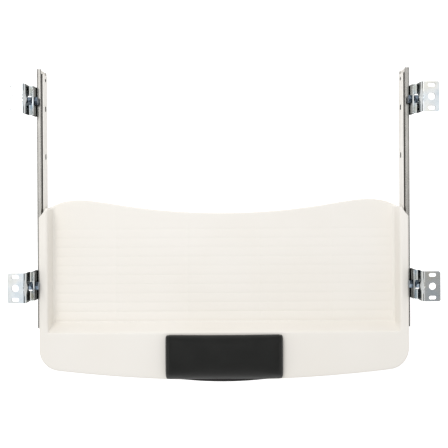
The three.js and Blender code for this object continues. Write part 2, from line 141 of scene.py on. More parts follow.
def make_camera():
    data = bpy.data.cameras.new("camera")
    data.lens = LENS
    data.sensor_width = 36
    data.shift_y = SHIFT_Y
    data.clip_start = 0.05
    data.clip_end = 20
    camera = add("camera", data)
    camera.location = CAMERA_PLACE
    camera.rotation_euler = (0, 0, math.radians(-ROLL))
    scene.camera = camera


make_camera()

# ---- materials ----

NOISE_LOW = 0.3  # noise seldom leaves this range
NOISE_HIGH = 0.7


def fill(tree, sockets, values):
    """Links each value that is itself a socket, and sets the plain ones."""
    for socket, value in zip(sockets, values):
        if isinstance(value, bpy.types.NodeSocket):
            tree.links.new(value, socket)
        else:
            socket.default_value = value


def add_node(tree, kind, output, **sockets):
    """A new node's output. Its sockets are named with underscores for spaces."""
    node = tree.nodes.new("ShaderNode" + kind)
    fill(tree, [node.inputs[key.replace("_", " ")] for key in sockets], sockets.values())
    return node.outputs[output]


def map_range(tree, *values, kind="LINEAR"):
    """Carries a value from one range to another. Values: it, from low and high, to low and high."""
    node = tree.nodes.new("ShaderNodeMapRange")
    node.interpolation_type = kind
    fill(tree, node.inputs, values)
    return node.outputs["Result"]


def ramp(tree, value, stops):
    node = tree.nodes.new("ShaderNodeValToRGB")
    elements = node.color_ramp.elements
    while len(elements) < len(stops):
        elements.new(0.5)
    for element, (position, colour) in zip(elements, stops):
        element.position = position
        element.color = (*colour, 1)
    tree.links.new(value, node.inputs["Fac"])
    return node.outputs["Color"]


class Nodes:
    """A material's node tree, with short calls for the nodes that the materials below share."""

    def __init__(self, name):
        self.material = bpy.data.materials.new(name)
        self.material.use_nodes = True
        self.tree = self.material.node_tree
        self.shader = self.tree.nodes["Principled BSDF"]
        self.place = add_node(self.tree, "TexCoord", "Object")

    def stretched(self, x, y, z):
        return add_node(self.tree, "Mapping", "Vector", Scale=(x, y, z), Vector=self.place)

    def noise(self, scale, detail, vector=None):
        vector = vector or self.place
        return add_node(self.tree, "TexNoise", "Fac", Scale=scale, Detail=detail, Vector=vector)

    def cells(self, scale, vector):
        return add_node(self.tree, "TexVoronoi", "Distance", Scale=scale, Vector=vector)

    def spread(self, value, to_low, to_high):
        """A noise value, spread over a range."""
        return map_range(self.tree, value, NOISE_LOW, NOISE_HIGH, to_low, to_high)

    def colours(self, value, dark, light):
        """Two colours, blended by a noise value."""
        return ramp(self.tree, value, [(NOISE_LOW, dark), (NOISE_HIGH, light)])

    def bump(self, height, strength, distance, **under):
        """Relief from a height value. A coarser relief may lie under it, as Normal."""
        sockets = {"Height": height, "Strength": strength, "Distance": distance, **under}
        return add_node(self.tree, "Bump", "Normal", **sockets)

    def set(self, **sockets):
        """Sets or links the shader's sockets, named with underscores for spaces."""
        fill(self.tree, [self.shader.inputs[key.replace("_", " ")] for key in sockets], sockets.values())
        return self.material


def cream_plastic():
    """Satin moulded plastic: an even cream with faint flow tone, and a fine moulded grain."""
    n = Nodes("tray_plastic")
    tone = n.noise(5, 2)
    flow = n.noise(14, 3, n.stretched(0.25, 1.6, 1))
    grain = n.noise(1400, 2)
    return n.set(
        Base_Color=ramp(n.tree, tone, [(0.35, (0.86, 0.827, 0.77)), (0.65, (0.88, 0.852, 0.805))]),
        Roughness=n.spread(grain, 0.34, 0.44),
        Normal=n.bump(grain, 0.10, 0.12 * MM, Normal=n.bump(flow, 0.05, 0.6 * MM)),
        Specular_IOR_Level=0.5,
    )


def pad_fabric():
    """Black stretch cover: a fine knit over foam, a little worn to grey."""
    n = Nodes("pad_fabric")
    wear = n.noise(28, 4)
    knit = n.cells(900, n.stretched(1, 1.5, 1))
    pores = n.noise(2200, 2)
    return n.set(
        Base_Color=n.colours(wear, (0.0065, 0.007, 0.0062), (0.0095, 0.010, 0.009)),
        Roughness=map_range(n.tree, knit, 0.0, 0.6, 0.40, 0.55),
        Normal=n.bump(knit, 0.30, 0.3 * MM, Normal=n.bump(pores, 0.2, 0.2 * MM)),
        Specular_IOR_Level=0.42,
        Sheen_Weight=0.3,
        Sheen_Roughness=0.4,
    )


def black_plastic():
    n = Nodes("black_plastic")
    grain = n.noise(1100, 3)
    return n.set(
        Base_Color=n.colours(n.noise(40, 2), (0.012, 0.012, 0.012), (0.02, 0.02, 0.02)),
        Roughness=n.spread(grain, 0.35, 0.5),
        Normal=n.bump(grain, 0.15, 0.2 * MM),
    )


def zinc():
    """Bright zinc plating: blue-grey with a faint yellow cast in places, and fine rolling marks."""
    n = Nodes("zinc")
    cast = n.noise(34, 2)
    cloud = n.noise(90, 4)
    marks = n.noise(500, 2, n.stretched(1, 0.06, 1))
    stops = [(0.35, (0.68, 0.745, 0.79)), (0.5, (0.77, 0.80, 0.81)), (0.68, (0.79, 0.785, 0.73))]
    return n.set(
        Base_Color=ramp(n.tree, cast, stops),
        Metallic=1.0,
        Roughness=n.spread(cloud, 0.09, 0.16),
        Normal=n.bump(marks, 0.10, 0.1 * MM),
    )


def painted_dark_reflection_zinc():
    """The brackets' inner faces, painted dark as a painted dark reflection, and more like a mirror."""
    n = Nodes("painted_dark_reflection_zinc")
    cloud = n.noise(70, 4)
    colour = n.colours(cloud, (0.13, 0.15, 0.155), (0.22, 0.24, 0.235))
    return n.set(Base_Color=colour, Metallic=1.0, Roughness=n.spread(cloud, 0.06, 0.13))


def scuffed_zinc():
    """The brackets' pressed darts, where the die has rubbed the plating dull."""
    n = Nodes("scuffed_zinc")
    rub = n.noise(320, 3)
    colour = n.colours(rub, (0.60, 0.63, 0.64), (0.74, 0.76, 0.76))
    return n.set(Base_Color=colour, Metallic=0.25, Roughness=n.spread(rub, 0.35, 0.5))


def blue_zinc_painted_dark():
    """Bolts, nuts and washers: bright blue plating, its colour painted dark as painted shade."""
    n = Nodes("blue_zinc_painted_dark")
    cloud = n.noise(260, 3)
    stops = [(0.3, (0.10, 0.14, 0.20)), (0.55, (0.20, 0.25, 0.31)), (0.75, (0.38, 0.43, 0.46))]
    return n.set(
        Base_Color=ramp(n.tree, cloud, stops),
        Metallic=1.0,
        Roughness=n.spread(cloud, 0.08, 0.2),
        Normal=n.bump(cloud, 0.15, 0.1 * MM),
    )


def slide_steel():
    """Rolled zinc plated strip: warm grey, drawn along its length."""
    n = Nodes("slide_steel")
    drawn = n.noise(320, 3, n.stretched(1, 0.02, 1))
    cloud = n.noise(22, 3)
    return n.set(
        Base_Color=n.colours(cloud, (0.50, 0.485, 0.455), (0.60, 0.585, 0.555)),
        Metallic=1.0,
        Roughness=n.spread(drawn, 0.18, 0.30),
        Normal=n.bump(drawn, 0.12, 0.15 * MM),
    )


def satin_strip_painted_reflection():
    """The slides' outward webs: the strip's matt side, which takes no clear reflection, painted near white as
    a painted reflection.
    """
    n = Nodes("satin_strip_painted_reflection")
    drawn = n.noise(420, 3, n.stretched(1, 0.03, 1))
    return n.set(
        Base_Color=n.colours(drawn, (0.90, 0.87, 0.82), (0.97, 0.945, 0.90)),
        Metallic=0.1,
        Roughness=n.spread(drawn, 0.42, 0.55),
        Normal=n.bump(drawn, 0.10, 0.15 * MM),
    )


def grease_and_painted_shade_steel():
    """The slides' raceways: the same strip, darkened partly by a film of dark grease and partly as painted
    shade where the members cover each other.
    """
    n = Nodes("grease_and_painted_shade_steel")
    film = n.noise(180, 4, n.stretched(1, 0.2, 1))
    return n.set(
        Base_Color=n.colours(film, (0.030, 0.028, 0.025), (0.09, 0.085, 0.075)),
        Metallic=0.4,
        Roughness=n.spread(film, 0.35, 0.6),
        Normal=n.bump(film, 0.2, 0.2 * MM),
    )


def ball_steel():
    n = Nodes("ball_steel")
    oil = n.noise(700, 3)
    colour = n.colours(oil, (0.62, 0.62, 0.62), (0.78, 0.78, 0.77))
    return n.set(Base_Color=colour, Metallic=1.0, Roughness=n.spread(oil, 0.06, 0.16))


TRAY_PLASTIC = cream_plastic()
PAD_FABRIC = pad_fabric()
BLACK_PLASTIC = black_plastic()
ZINC = zinc()
# Zinc painted dark: a painted dark reflection.
PAINTED_DARK_REFLECTION_ZINC = painted_dark_reflection_zinc()
SCUFFED_ZINC = scuffed_zinc()
# Blue zinc painted dark: painted shade.
BLUE_ZINC_PAINTED_DARK = blue_zinc_painted_dark()
SLIDE_STEEL = slide_steel()
# Strip painted near white: a painted reflection.
SATIN_STRIP_PAINTED_REFLECTION = satin_strip_painted_reflection()
# Steel darkened by grease and by painted shade.
GREASE_AND_PAINTED_SHADE_STEEL = grease_and_painted_shade_steel()
BALL_STEEL = ball_steel()

# ---- tray ----

TRAY_LOW, TRAY_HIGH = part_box("tray")
WALL = 2.6 * MM
EDGE = 2.8 * MM  # radius of the rolled rim on the show side, a little more than the wall
LEDGE_Z = TRAY_HIGH.z
FLOOR_Z = LEDGE_Z - 39.5 * MM
HALF_WIDTH = TRAY_HIGH.x
CORNER_RADIUS = 37 * MM
FRONT_RADIUS = 2440 * MM
FRONT_Y = TRAY_LOW.y
WELL_FOOT_X = 304.2 * MM
WELL_RIM_X = 305.5 * MM
WELL_FOOT_Y = -221 * MM
WELL_RIM_Y = -233 * MM
SIDE_FOOT_RADIUS = 5.5 * MM
FRONT_FOOT_RADIUS = 1.5 * MM
SIDE_RIM_RADIUS = 5 * MM
FRONT_RIM_RADIUS = 2.4 * MM
CURVE_STEPS = 6
SKIRT_DEPTH = 20 * MM
SKIRT_START_Y = -229 * MM
SKIRT_FULL_Y = -238 * MM
RIB_X = (-192 * MM, -64 * MM, 64 * MM, 192 * MM)
GROOVE_PITCH = 16.3 * MM
GROOVE_HALF = 1.0 * MM
GROOVE_COUNT = 11
FIRST_GROOVE_DEPTH = 0.42 * MM
GROOVE_DEPTH = 0.11 * MM
GROOVE_FADE = 1.2  # over how many grooves the depth settles
SINK_DEPTH = 0.16 * MM
# The rear edge, right half: how far back the tray reaches at each distance from its middle.
REAR_EDGE = [
    (0, -27), (90, -23.6), (165, -15.2), (215, -7.2), (255, -2.8), (285, -6), (304, -14), (320.5, -33),
]


def ease(t):
    """An S-curve from 0 to 1."""
    return t * t * (3 - 2 * t)


def spline(points, x):
    """A smooth curve through points with rising x (Catmull-Rom), read at x."""
    i = max(0, min(len(points) - 2, sum(1 for p in points[1:-1] if p[0] <= x)))
    x0, y0 = points[i]
    x1, y1 = points[i + 1]
    before = points[i - 1] if i else (-points[1][0], points[1][1])
    after = points[i + 2] if i + 2 < len(points) else (2 * x1 - x0, 2 * y1 - y0)
    t = (x - x0) / (x1 - x0)
    slope0 = (y1 - before[1]) / (x1 - before[0]) * (x1 - x0)
    slope1 = (after[1] - y0) / (after[0] - x0) * (x1 - x0)
    return y0 + (y1 - y0) * ease(t) + (slope0 * (1 - t) - slope1 * t) * t * (1 - t)


def rear_y(x):
    """The rear edge, drawn in by the edge radius."""
    x = abs(x) / MM
    step = 0.5
    slope = (spline(REAR_EDGE, x + step) - spline(REAR_EDGE, max(x - step, 0))) / (2 * step)
    return spline(REAR_EDGE, x) * MM - EDGE * math.sqrt(1 + slope**2)


def front_y(x):
    """The front edge, drawn in by the edge radius: a wide arc with a rounded corner at each side."""
    x = abs(x)
    centre_y = FRONT_Y + FRONT_RADIUS
    radius = CORNER_RADIUS - EDGE
    corner_x = HALF_WIDTH - CORNER_RADIUS
    corner_y = centre_y - math.sqrt((FRONT_RADIUS - CORNER_RADIUS) ** 2 - corner_x**2)
    meet_x = corner_x * FRONT_RADIUS / (FRONT_RADIUS - CORNER_RADIUS)
    if x < meet_x:
        return centre_y - math.sqrt((FRONT_RADIUS - EDGE) ** 2 - x**2)
    return corner_y - math.sqrt(max(radius**2 - (x - corner_x) ** 2, 0))


def wall_profile(foot, rim, foot_radius, rim_radius):
    """Points (distance from the middle, depth share) up a drafted wall: a rounded foot, the wall itself,
    and a rounded rim. The share is 1 on the well's floor and 0 on the ledge."""
    depth = LEDGE_Z - FLOOR_Z
    lean = math.atan2(rim - foot, depth)
    turn = math.pi / 2 - lean
    points = []
    reach = math.tan(turn / 2)
    for i in range(CURVE_STEPS + 1):
        a = turn * i / CURVE_STEPS
        x = foot + foot_radius * (math.sin(a) - reach)
        points.append((x, 1 - foot_radius * (1 - math.cos(a)) / depth))
    for i in range(CURVE_STEPS + 1):
        a = turn * (1 - i / CURVE_STEPS)
        x = rim + rim_radius * (reach - math.sin(a))
        points.append((x, rim_radius * (1 - math.cos(a)) / depth))
    return points


def read(profile, value):
    """The depth share at a distance from the middle."""
    if value <= profile[0][0]:
        return 1.0
    for (a, share_a), (b, share_b) in zip(profile, profile[1:]):
        if value <= b:
            return share_a + (share_b - share_a) * (value - a) / (b - a)
    return 0.0


SIDE_WALL = wall_profile(WELL_FOOT_X, WELL_RIM_X, SIDE_FOOT_RADIUS, SIDE_RIM_RADIUS)
FRONT_WALL = wall_profile(-WELL_FOOT_Y, -WELL_RIM_Y, FRONT_FOOT_RADIUS, FRONT_RIM_RADIUS)


def groove_places():
    """Y and depth of each shallow groove across the floor: the one nearest the front is the deepest."""
    first = WELL_FOOT_Y + FRONT_FOOT_RADIUS + GROOVE_HALF
    extra = FIRST_GROOVE_DEPTH - GROOVE_DEPTH
    steps = range(GROOVE_COUNT)
    return [(first + GROOVE_PITCH * i, GROOVE_DEPTH + extra * math.exp(-i / GROOVE_FADE)) for i in steps]


GROOVES = groove_places()


def dip(value, centre, half):
    """A rounded notch: 1 at its middle, 0 at its edges."""
    off = abs(value - centre) / half
    return (1 + math.cos(math.pi * off)) / 2 if off < 1 else 0.0


def tray_z(x, y):
    share = read(SIDE_WALL, abs(x)) * read(FRONT_WALL, -y)
    z = LEDGE_Z - (LEDGE_Z - FLOOR_Z) * share
    if share > 0.999:
        z -= max(depth * dip(y, place, GROOVE_HALF) for place, depth in GROOVES)
        z -= SINK_DEPTH * max(dip(x, r, 2 * GROOVE_HALF) for r in RIB_X)
    return z


def evenly(start, stop, step):
    count = max(1, round(abs(stop - start) / step))
    return [start + (stop - start) * i / count for i in range(count)]


def tray_columns():
    """X of each column of the grid: even over the floor and close together at ribs, walls and edges."""
    half = []
    last = 0
    for rib in (r for r in RIB_X if r > 0):
        half += evenly(last, rib - 2 * GROOVE_HALF, 9 * MM)
        half += [rib - 2 * GROOVE_HALF, rib - GROOVE_HALF, rib, rib + GROOVE_HALF]
        last = rib + 2 * GROOVE_HALF
    half += evenly(last, SIDE_WALL[0][0], 7 * MM)
    half += [x for x, _ in SIDE_WALL]
    edge = HALF_WIDTH - EDGE
    end = SIDE_WALL[-1][0]
    half += [end + (edge - end) * share for share in (0.3, 0.55, 0.75, 0.88, 0.96, 0.99, 1.0)]
    half = sorted(set(half))
    return [-x for x in reversed(half[1:])] + half


def tray_rows():
    """Each row of the grid as a function of x: rows follow the rear edge, run straight across the well,
    and follow the front edge."""
    straight = -46 * MM
    shares = (0, 0.08, 0.2, 0.4, 0.6, 0.8)
    rows = [lambda x, s=share: rear_y(x) + (straight - rear_y(x)) * s for share in shares]
    ys = []
    for groove, _ in reversed(GROOVES):
        ys += [groove + GROOVE_HALF * k for k in (4, 1, 0.5, 0, -0.5, -1)]
    ys += sorted([-d for d, _ in FRONT_WALL] + [SKIRT_START_Y], reverse=True)
    behind_rest = WELL_RIM_Y - 2 * EDGE
    rows += [lambda x, y=y: y for y in [straight] + [y for y in ys if y < straight - MM] + [behind_rest]]
    rows += [lambda x, s=i / 12: behind_rest + (front_y(x) - behind_rest) * s for i in range(1, 13)]
    return rows


def surface_normal(x, y):
    step = 0.2 * MM
    slope_x = (tray_z(x + step, y) - tray_z(x - step, y)) / (2 * step)
    slope_y = (tray_z(x, y + step) - tray_z(x, y - step)) / (2 * step)
    return Vector((-slope_x, -slope_y, 1)).normalized()


def add_edge_rings(bm, loop):
    """Rolls the sheet over its rim: a quarter round, and a skirt down the front and corners."""
    count = len(loop)
    outward = []
    for i in range(count):
        before = (loop[i].co - loop[i - 1].co).to_2d().normalized()
        after = (loop[(i + 1) % count].co - loop[i].co).to_2d().normalized()
        along = (before + after).normalized()
        mitre = 1 / max(0.6, along.dot(before))
        outward.append(Vector((along.y, -along.x, 0)) * mitre)
    ring = loop
    normals = [surface_normal(v.co.x, v.co.y) for v in loop]
    base = [v.co.copy() for v in loop]
    rounded = [b + (o - n) * EDGE for b, o, n in zip(base, outward, normals)]
    for k in range(1, CURVE_STEPS):
        a = math.pi / 2 * k / (CURVE_STEPS - 1)
        out, drop = EDGE * math.sin(a), EDGE * (1 - math.cos(a))
        ring = add_ring(bm, ring, [b + o * out - n * drop for b, o, n in zip(base, outward, normals)])
    for share in (0.1, 0.5, 0.94, 1.0):
        places = []
        for p in rounded:
            along = (SKIRT_START_Y - p.y) / (SKIRT_START_Y - SKIRT_FULL_Y)
            drop = (SKIRT_DEPTH - EDGE) * share * ease(max(0.0, min(1.0, along)))
            places.append(p - Vector((0, 0, drop)))
        ring = add_ring(bm, ring, places)


def add_ring(bm, ring, places):
    made = [bm.verts.new(p) for p in places]
    join(bm, ring, made)
    return made


def make_tray():
    bm = bmesh.new()
    columns = tray_columns()
    rows = tray_rows()
    grid = [[bm.verts.new((x, row(x), tray_z(x, row(x)))) for x in columns] for row in rows]
    for upper, lower in zip(grid, grid[1:]):
        for i in range(len(columns) - 1):
            bm.faces.new((lower[i], lower[i + 1], upper[i + 1], upper[i]))
    loop = [row[0] for row in grid] + grid[-1][1:]
    loop += [row[-1] for row in reversed(grid[:-1])] + grid[0][-2:0:-1]
    add_edge_rings(bm, loop)
    bmesh.ops.remove_doubles(bm, verts=bm.verts, dist=0.02 * MM)
    tray = object_from(bm, "tray_shell", TRAY_PLASTIC, 50)
    up = tray.data.polygons[len(tray.data.polygons) // 2].normal.z
    thicken(tray, WALL, -1 if up > 0 else 1).use_quality_normals = True
    return place(tray, "drawer", "tray_plastic", "tray")


make_tray()

# ---- tray underside: ribs and screw bosses ----

RIB_TOP = 2.6 * MM  # rib thickness where it joins the sheet, and at its free edge
RIB_TIP = 1.9 * MM
RIB_DRAFT = 0.15  # how much a rib's ends are drawn in, as a share of its height
UNDER_FLOOR_Z = FLOOR_Z - WALL
UNDER_LEDGE_Z = LEDGE_Z - WALL
FLOOR_RIB_Z = TRAY_LOW.z + 0.2 * MM
LEDGE_RIB_Z = LEDGE_Z - SKIRT_DEPTH + 4 * MM
SINK_IN = 0.6 * MM  # how far a rib or boss reaches into the sheet that it stands on
TUB_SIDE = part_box("right_inner_member")[0].x - 0.4 * MM
FLOOR_RIB_Y = (-219 * MM, -47 * MM)
CROSS_RIB_Y = (-80 * MM, -150 * MM)
CROSS_RIB_END_X = 296 * MM
LEDGE_RIB_PITCH = 64 * MM
LEDGE_RIB_END_X = 292 * MM
BOSS_POINTS = 28
BOSS_RADIUS = 6 * MM
BOSS_HOLE = 4 * MM
BOSS_DEPTH = 3.4 * MM
HEAD_RADIUS = 3.5 * MM  # of the wrist rest's screws
BLOCK_HALF = 7 * MM


def prism(bm, base, tip, base_z, tip_z):
    """A closed solid between two outlines with the same number of points, one above the other."""
    low = [bm.verts.new((x, y, tip_z)) for x, y in tip]
    high = [bm.verts.new((x, y, base_z)) for x, y in base]
    bm.faces.new(low)
    bm.faces.new(list(reversed(high)))
    join(bm, high, low)


def add_rib(bm, start, end, top_z, tip_z):
    """An upright rib under a sheet: thicker at the sheet, and drawn in a little at its ends."""
    along = (Vector(end) - Vector(start)).normalized() * (top_z - tip_z) * RIB_DRAFT
    tip = strip_outline(Vector(start) + along, Vector(end) - along, RIB_TIP / 2)
    prism(bm, strip_outline(start, end, RIB_TOP / 2), tip, top_z + SINK_IN, tip_z)


def add_boss(bm, x, y, top_z, tip_z):
    """A round screw boss with a hole up its middle."""
    rings = []
    for r, z in (
        (BOSS_RADIUS * 1.12, top_z + SINK_IN), (BOSS_RADIUS, tip_z), (BOSS_HOLE, tip_z), (BOSS_HOLE, top_z),
    ):
        outline = arc((x, y), r, 0, 360, BOSS_POINTS)[:-1]
        rings.append([bm.verts.new((*point, z)) for point in outline])
    for outer, inner in zip(rings, rings[1:]):
        join(bm, outer, inner)
    bm.faces.new(rings[-1])
    bm.faces.new(list(reversed(rings[0])))


def make_tray_ribs():
    bm = bmesh.new()
    for x in RIB_X:
        add_rib(bm, (x, FLOOR_RIB_Y[0]), (x, FLOOR_RIB_Y[1]), UNDER_FLOOR_Z, FLOOR_RIB_Z)
    for y in CROSS_RIB_Y:
        add_rib(bm, (-CROSS_RIB_END_X, y), (CROSS_RIB_END_X, y), UNDER_FLOOR_Z, FLOOR_RIB_Z + 2 * MM)
    ledge_rear = WELL_RIM_Y - 5 * MM
    for i in range(-4, 5):
        x = i * LEDGE_RIB_PITCH
        add_rib(bm, (x, ledge_rear), (x * 1.02, front_y(x) + 1.2 * MM), UNDER_LEDGE_Z, LEDGE_RIB_Z)
    middle = (ledge_rear + FRONT_Y) / 2
    add_rib(bm, (-LEDGE_RIB_END_X, middle), (LEDGE_RIB_END_X, middle), UNDER_LEDGE_Z, LEDGE_RIB_Z + 3 * MM)
    screw_low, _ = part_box("wrist_rest_screw_left")
    for sign in SIDES.values():
        screw_x = sign * abs(screw_low.x + HEAD_RADIUS)
        add_boss(bm, screw_x, screw_low.y + HEAD_RADIUS, UNDER_LEDGE_Z, UNDER_LEDGE_Z - BOSS_DEPTH)
    ribs = object_from(bm, "tray_ribs", TRAY_PLASTIC, 40)
    soften(ribs, 0.4 * MM)
    return place(ribs, "drawer", "tray_plastic")


def make_screw_blocks():
    """Three moulded blocks on each side wall, which the slides' screws bite into."""
    bm = bmesh.new()
    for side, sign in SIDES.items():
        for i in (1, 2, 3):
            (y, z), _, _ = node_line(f"{side}_tray_screw_{i}")
            outer = sign * TUB_SIDE
            inner = sign * (WELL_FOOT_X + 1.6 * MM)
            rear, front = y + BLOCK_HALF, y - BLOCK_HALF
            corners = [(inner, front), (outer, front + MM), (outer, rear - MM), (inner, rear)]
            if sign < 0:
                corners.reverse()
            prism(bm, corners, corners, z + BLOCK_HALF, z - BLOCK_HALF)
    blocks = object_from(bm, "tray_screw_blocks", TRAY_PLASTIC, 40)
    soften(blocks, 0.6 * MM)
    return place(blocks, "drawer", "tray_plastic")


make_tray_ribs()
make_screw_blocks()

# ---- slides: CAD sections with broken edges, and raceways darkened by grease and painted shade ----


def refine(node, body, slot, material, bevel, finish_of=None, cut_y=None):
    """A copy of a CAD piece with its facets merged, its edges rounded and its bends shaded smooth. Where
    its faces differ in finish, finish_of gives the place of each face's material in SLIDE_FINISHES, and
    cut_y is where the finish changes along its length."""
    bm = bmesh.new()
    bm.from_mesh(frame["nodes"][node].data)
    bmesh.ops.remove_doubles(bm, verts=bm.verts, dist=0.001 * MM)
    bmesh.ops.dissolve_limit(bm, angle_limit=math.radians(0.5), verts=bm.verts, edges=bm.edges)
    if cut_y:
        cut(bm, (0, cut_y, 0), (0, 1, 0))
    sharp = [e for e in bm.edges if e.is_manifold and e.calc_face_angle(0) > math.radians(40)]
    bmesh.ops.bevel(
        bm, geom=sharp, offset=bevel, offset_type="OFFSET", segments=2, profile=0.5, affect="EDGES",
        clamp_overlap=True,
    )
    piece = object_from(bm, node + "_finished", material, 32)
    piece.modifiers.new("flat_faces", "WEIGHTED_NORMAL").keep_sharp = True
    if finish_of:
        for finish in SLIDE_FINISHES[1:]:
            piece.data.materials.append(finish)
        for face in piece.data.polygons:
            face.material_index = finish_of(face.center, face.normal)
    return place(piece, body, slot, node)


SLIDE_FINISHES = (SLIDE_STEEL, GREASE_AND_PAINTED_SHADE_STEEL, SATIN_STRIP_PAINTED_REFLECTION)
BRIGHT, GREASE_AND_PAINTED_SHADE, SATIN_PAINTED_REFLECTION = range(3)


def refine_slides(side, sign):
    low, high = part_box(side + "_outer_member")
    (_, middle_z), near, _ = node_line(side + "_outer_member")
    inside = 1.0 * MM
    curl_x = near + 0.7 * MM
    # Where the inner member covers the outer member's inside, that inside is darkened by grease and painted
    # shade; past the inner member's end it stays bright.
    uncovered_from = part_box(side + "_inner_member")[1].y - 6 * MM

    def outer_finish(centre, normal):
        at_lip = min(centre.z - low.z, high.z - centre.z) < inside
        outside = normal.x * sign > 0.4 or abs(centre.x) < curl_x
        shown = at_lip and normal.z * (centre.z - middle_z) > 0
        return BRIGHT if outside or shown or centre.y > uncovered_from else GREASE_AND_PAINTED_SHADE

    # The inner member's outward and flat faces are darkened by grease and painted shade; its web is painted
    # near white as a painted reflection.
    def inner_finish(_, normal):
        return GREASE_AND_PAINTED_SHADE if normal.x * sign > 0.3 or abs(normal.z) > 0.75 else SATIN_PAINTED_REFLECTION

    bevel = 0.2 * MM
    refine(side + "_outer_member", "mount_frame", "slide_steel", SLIDE_STEEL, bevel, outer_finish, uncovered_from)
    refine(side + "_inner_member", "drawer", "slide_steel", SLIDE_STEEL, bevel, inner_finish)
    refine(side + "_ball_cage", side + "_ball_cage", "zinc", ZINC, 0.1 * MM)
    refine(side + "_rear_bumper", "mount_frame", "tray_plastic", TRAY_PLASTIC, 0.9 * MM)


def make_balls(side):
    """The cage's balls, true spheres in two rows."""
    bm = bmesh.new()
    nodes = [f"{side}_ball_{i}" for i in range(1, 7)]
    for node in nodes:
        low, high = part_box(node)
        radius = (high.y - low.y) / 2
        move = Matrix.Translation((low + high) / 2)
        bmesh.ops.create_uvsphere(bm, u_segments=24, v_segments=14, radius=radius, matrix=move)
    balls = object_from(bm, side + "_balls", BALL_STEEL, 180)
    return place(balls, side + "_ball_cage", "ball_steel", *nodes)


for side, sign in SIDES.items():
    refine_slides(side, sign)
    make_balls(side)

# ---- turned and hexagonal fasteners ----

ROUND = 36  # points round a turned piece
PITCH = 1.25 * MM
THREAD_DEPTH = 0.6 * MM
FLATS = 12.9 * MM  # across a bolt head's or a nut's flats
CHAMFER_FROM = 0.49  # the share of the flats where a hexagon's end chamfer starts, and its slope
CORNER_CUT = 0.58
SMALL_HEAD = 3.4 * MM  # radius of a screw's or a rivet's head


def add_turned(bm, rings, centre, sign):
    """Rings about the X axis, joined in order. A ring is (x, radius), or (x, radius, shape), where shape
    gives an offset in x and the radius at each angle. Returns the rings' vertices."""
    made = []
    for x, radius, *shape in rings:
        ring = []
        for k in range(ROUND):
            a = math.tau * k / ROUND
            dx, r = shape[0](a) if shape else (0, radius)
            y, z = centre[0] + r * math.cos(a), centre[1] + r * math.sin(a)
            ring.append(bm.verts.new((sign * (x + dx), y, z)))
        made.append(ring)
    for first, second in zip(made, made[1:]):
        join(bm, first, second)
    return made


def hexagon(cut):
    """A hexagon's outline for a ring: how far its corners are cut back, and the radius at an angle."""
    def shape(a):
        turn = (a + math.pi / 6) % (math.pi / 3) - math.pi / 6
        radius = FLATS / 2 / math.cos(turn)
        return cut * max(0.0, radius - CHAMFER_FROM * FLATS), radius
    return shape


def thread(start, end, radius):
    """Rings down a threaded shank, from start to end along X."""
    rings = []
    for i in range(int((end - start) / PITCH)):
        x = start + PITCH * i
        rings += [(x, radius - THREAD_DEPTH), (x + PITCH * 0.42, radius), (x + PITCH * 0.58, radius)]
    return rings


def cross(x, reach):
    """A ring with the outline of a cross recess."""
    return (x, reach, lambda a: (0, reach * (0.42 + 0.58 * abs(math.cos(2 * a)) ** 3)))


def fastener(node, material, body, rings, centre, sign, move=None):
    """A turned piece that stands for a CAD node. Its rings end in flat caps, or come back to the first."""
    bm = bmesh.new()
    looped = rings[0] == rings[-1]
    made = add_turned(bm, rings, centre, sign)
    if looped:
        bmesh.ops.remove_doubles(bm, verts=made[0] + made[-1], dist=0.001 * MM)
    else:
        bm.faces.new(made[0])
        bm.faces.new(list(reversed(made[-1])))
    if move:
        bmesh.ops.transform(bm, matrix=move, verts=bm.verts)
    return place(object_from(bm, node + "_finished", material, 28), body, "zinc", node)


def bolt_rings(near, far):
    head = near + 5.3 * MM
    radius = 3.95 * MM
    rings = [
        (near, 3.2 * MM), (near + 0.25 * MM, 3.4 * MM), (near, 4.2 * MM), (near, CHAMFER_FROM * FLATS),
        (near, 0, hexagon(CORNER_CUT)), (head - 0.1 * MM, 0, hexagon(0)), (head, 0.47 * FLATS),
        (head, radius + 0.4 * MM), (head + 0.4 * MM, radius),
    ]
    return rings + thread(head + 2 * MM, far - 0.8 * MM, radius) + [(far, radius - THREAD_DEPTH - 0.2 * MM)]


def nut_rings(near, far):
    bore = 4.25 * MM
    lead = 0.5 * MM
    return [
        (near, bore + lead), (near, CHAMFER_FROM * FLATS), (near, 0, hexagon(CORNER_CUT)),
        (far, 0, hexagon(-CORNER_CUT)), (far, CHAMFER_FROM * FLATS), (far, bore + lead), (far - lead, bore),
        (near + lead, bore), (near, bore + lead),
    ]


def washer_rings(near, far):
    outer = 7.5 * MM
    bore = 4.3 * MM
    soft = 0.25 * MM
    return [
        (near, bore + soft), (near, outer - soft), (near + soft, outer), (far - 2 * soft, outer),
        (far, outer - 2 * soft), (far, bore + soft), (far - soft, bore), (near + soft, bore),
        (near, bore + soft),
    ]


def rivet_rings(near, far):
    """A rivet with a domed head outside and a low closed head inside the slide."""
    head = SMALL_HEAD
    shank = 2 * MM
    inside_head = 0.6 * MM
    dome = 1.2 * MM
    rings = [(near + 0.12 * MM, 1.2 * MM), (near, 1.5 * MM), (near, head - 0.3 * MM)]
    rings += [(near + 0.3 * MM, head), (near + inside_head, head), (near + inside_head, shank)]
    rings += [(far - dome, shank), (far - dome, head)]
    for k in range(1, 6):
        a = math.pi / 2 * k / 6
        rings.append((far - dome + dome * math.sin(a), head * math.cos(a)))
    return rings


